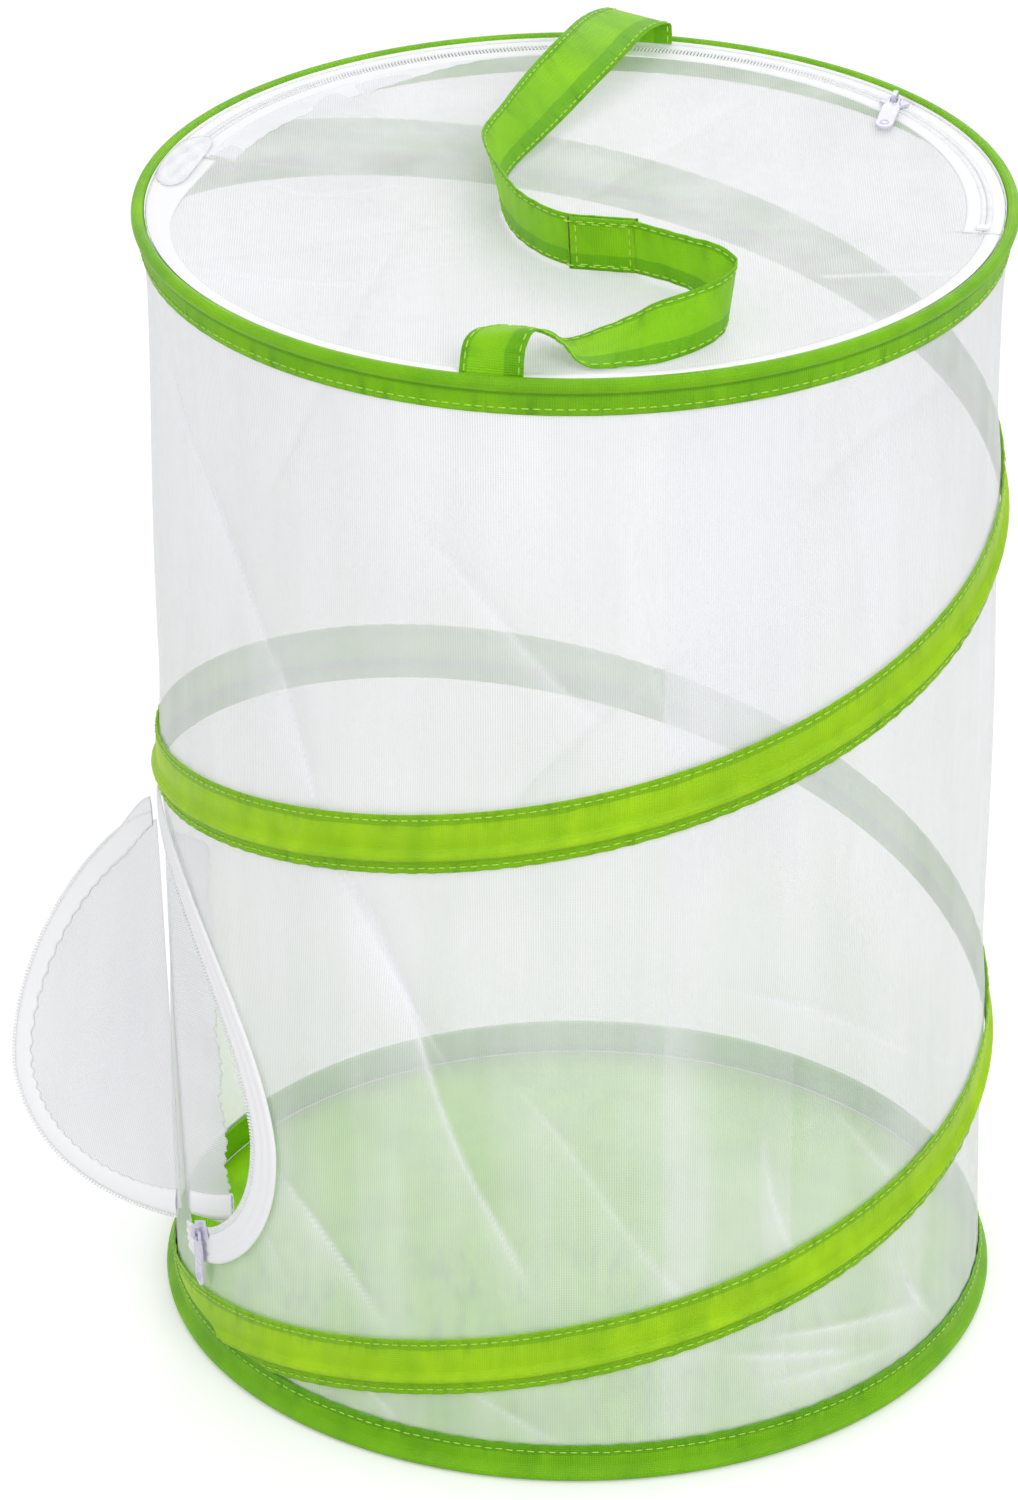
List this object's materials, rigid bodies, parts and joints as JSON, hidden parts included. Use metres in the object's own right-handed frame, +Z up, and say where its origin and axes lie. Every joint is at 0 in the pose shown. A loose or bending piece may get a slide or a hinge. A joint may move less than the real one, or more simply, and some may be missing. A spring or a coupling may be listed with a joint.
{
  "type": "butterfly habitat",
  "caption": "Tall round pop-up net cage on wire hoops and a ribbon-covered spiral spring, with a zipped lid, a zipped side door and a carry strap.",
  "frame": {"origin": "middle of the floor's underside", "axes": "+Z up, front of the cage towards -Y, +X to the right seen from the front"},
  "size_m": [0.4704, 0.3996, 0.587],
  "materials": {
    "green_ribbon": "thin satin nylon ribbon",
    "white_net": "fine see-through polyester net",
    "white_tape": "woven tape",
    "white_coil": "satin nylon",
    "coated_slider": "smooth white coating",
    "spring_steel": "drawn wire"
  },
  "bodies": {
    "base": {"bottom_casing": "green_ribbon", "bottom_hoop_wire": "spring_steel", "bottom_hoop_ferrule": "spring_steel", "floor_panel": "green_ribbon", "wall_mesh": "white_net", "wall_seam": "white_net", "spiral_wire": "spring_steel", "spiral_casing": "green_ribbon", "door_wall_tape": "white_tape", "door_wall_coil": "white_coil", "door_facing": "white_net", "door_slider": "coated_slider"},
    "top_frame": {"top_casing": "green_ribbon", "top_hoop_wire": "spring_steel", "top_hoop_ferrule": "spring_steel", "lid_front_net": "white_net", "lid_hem": "white_tape", "lid_ring_tape": "white_tape", "lid_ring_coil": "white_coil", "lid_zip_cover": "white_tape", "lid_zip_stop": "white_coil"},
    "lid_flap": {"lid_flap_net": "white_net", "lid_flap_tape": "white_tape", "lid_flap_coil": "white_coil"},
    "lid_slider": {"lid_slider": "coated_slider"},
    "lid_pull": {"lid_pull": "coated_slider"},
    "rear_strap": {"rear_strap": "green_ribbon", "strap_loop_tape": "green_ribbon"},
    "front_strap": {"front_strap": "green_ribbon", "strap_hook_tape": "green_ribbon"},
    "door_flap": {"door_flap_net": "white_net", "door_flap_hem": "white_tape", "door_flap_coil": "white_coil"},
    "door_pull": {"door_pull": "coated_slider"}
  },
  "joints": [
    {"name": "collapse", "type": "slide", "parent": "base", "child": "top_frame", "axis": [0, 0, -1], "range_m": [0, 0.46], "stiffness_N_per_m": 40, "springref_m": -0.1, "deforming": ["wall_mesh", "wall_seam", "spiral_wire", "spiral_casing", "door_wall_tape", "door_wall_coil", "door_facing", "door_flap_net", "door_flap_hem", "door_flap_coil"]},
    {"name": "lid_swing", "type": "hinge", "parent": "top_frame", "child": "lid_flap", "pos_m": [0.0022, 0.00821, 0.557], "axis": [0.9659, -0.2588, 0], "range_deg": [-85, 0]},
    {"name": "lid_slider_run", "type": "hinge", "parent": "top_frame", "child": "lid_slider", "pos_m": [0, 0, 0.557], "axis": [0, 0, 1], "range_deg": [-44, 116]},
    {"name": "lid_pull_flip", "type": "hinge", "parent": "lid_slider", "child": "lid_pull", "pos_m": [0.14967, 0.10874, 0.5612], "axis": [-0.9703, 0.2419, 0], "range_deg": [0, 150]},
    {"name": "rear_strap_lift", "type": "hinge", "parent": "top_frame", "child": "rear_strap", "pos_m": [0.03421, 0.19401, 0.5609], "axis": [-0.9848, 0.1736, 0], "range_deg": [0, 100]},
    {"name": "front_strap_lift", "type": "hinge", "parent": "top_frame", "child": "front_strap", "pos_m": [-0.03894, -0.19311, 0.5609], "axis": [0.9803, -0.1977, 0], "range_deg": [0, 100]},
    {"name": "door_swing", "type": "hinge", "parent": "base", "child": "door_flap", "pos_m": [-0.18725, -0.06157, 0.052], "axis": [0.042, -0.2189, -0.9748], "range_deg": [-142, 18]},
    {"name": "door_pull_flip", "type": "hinge", "parent": "base", "child": "door_pull", "pos_m": [-0.18031, -0.08727, 0.06872], "axis": [-0.4357, 0.9001, 0], "range_deg": [0, 150]}
  ]
}
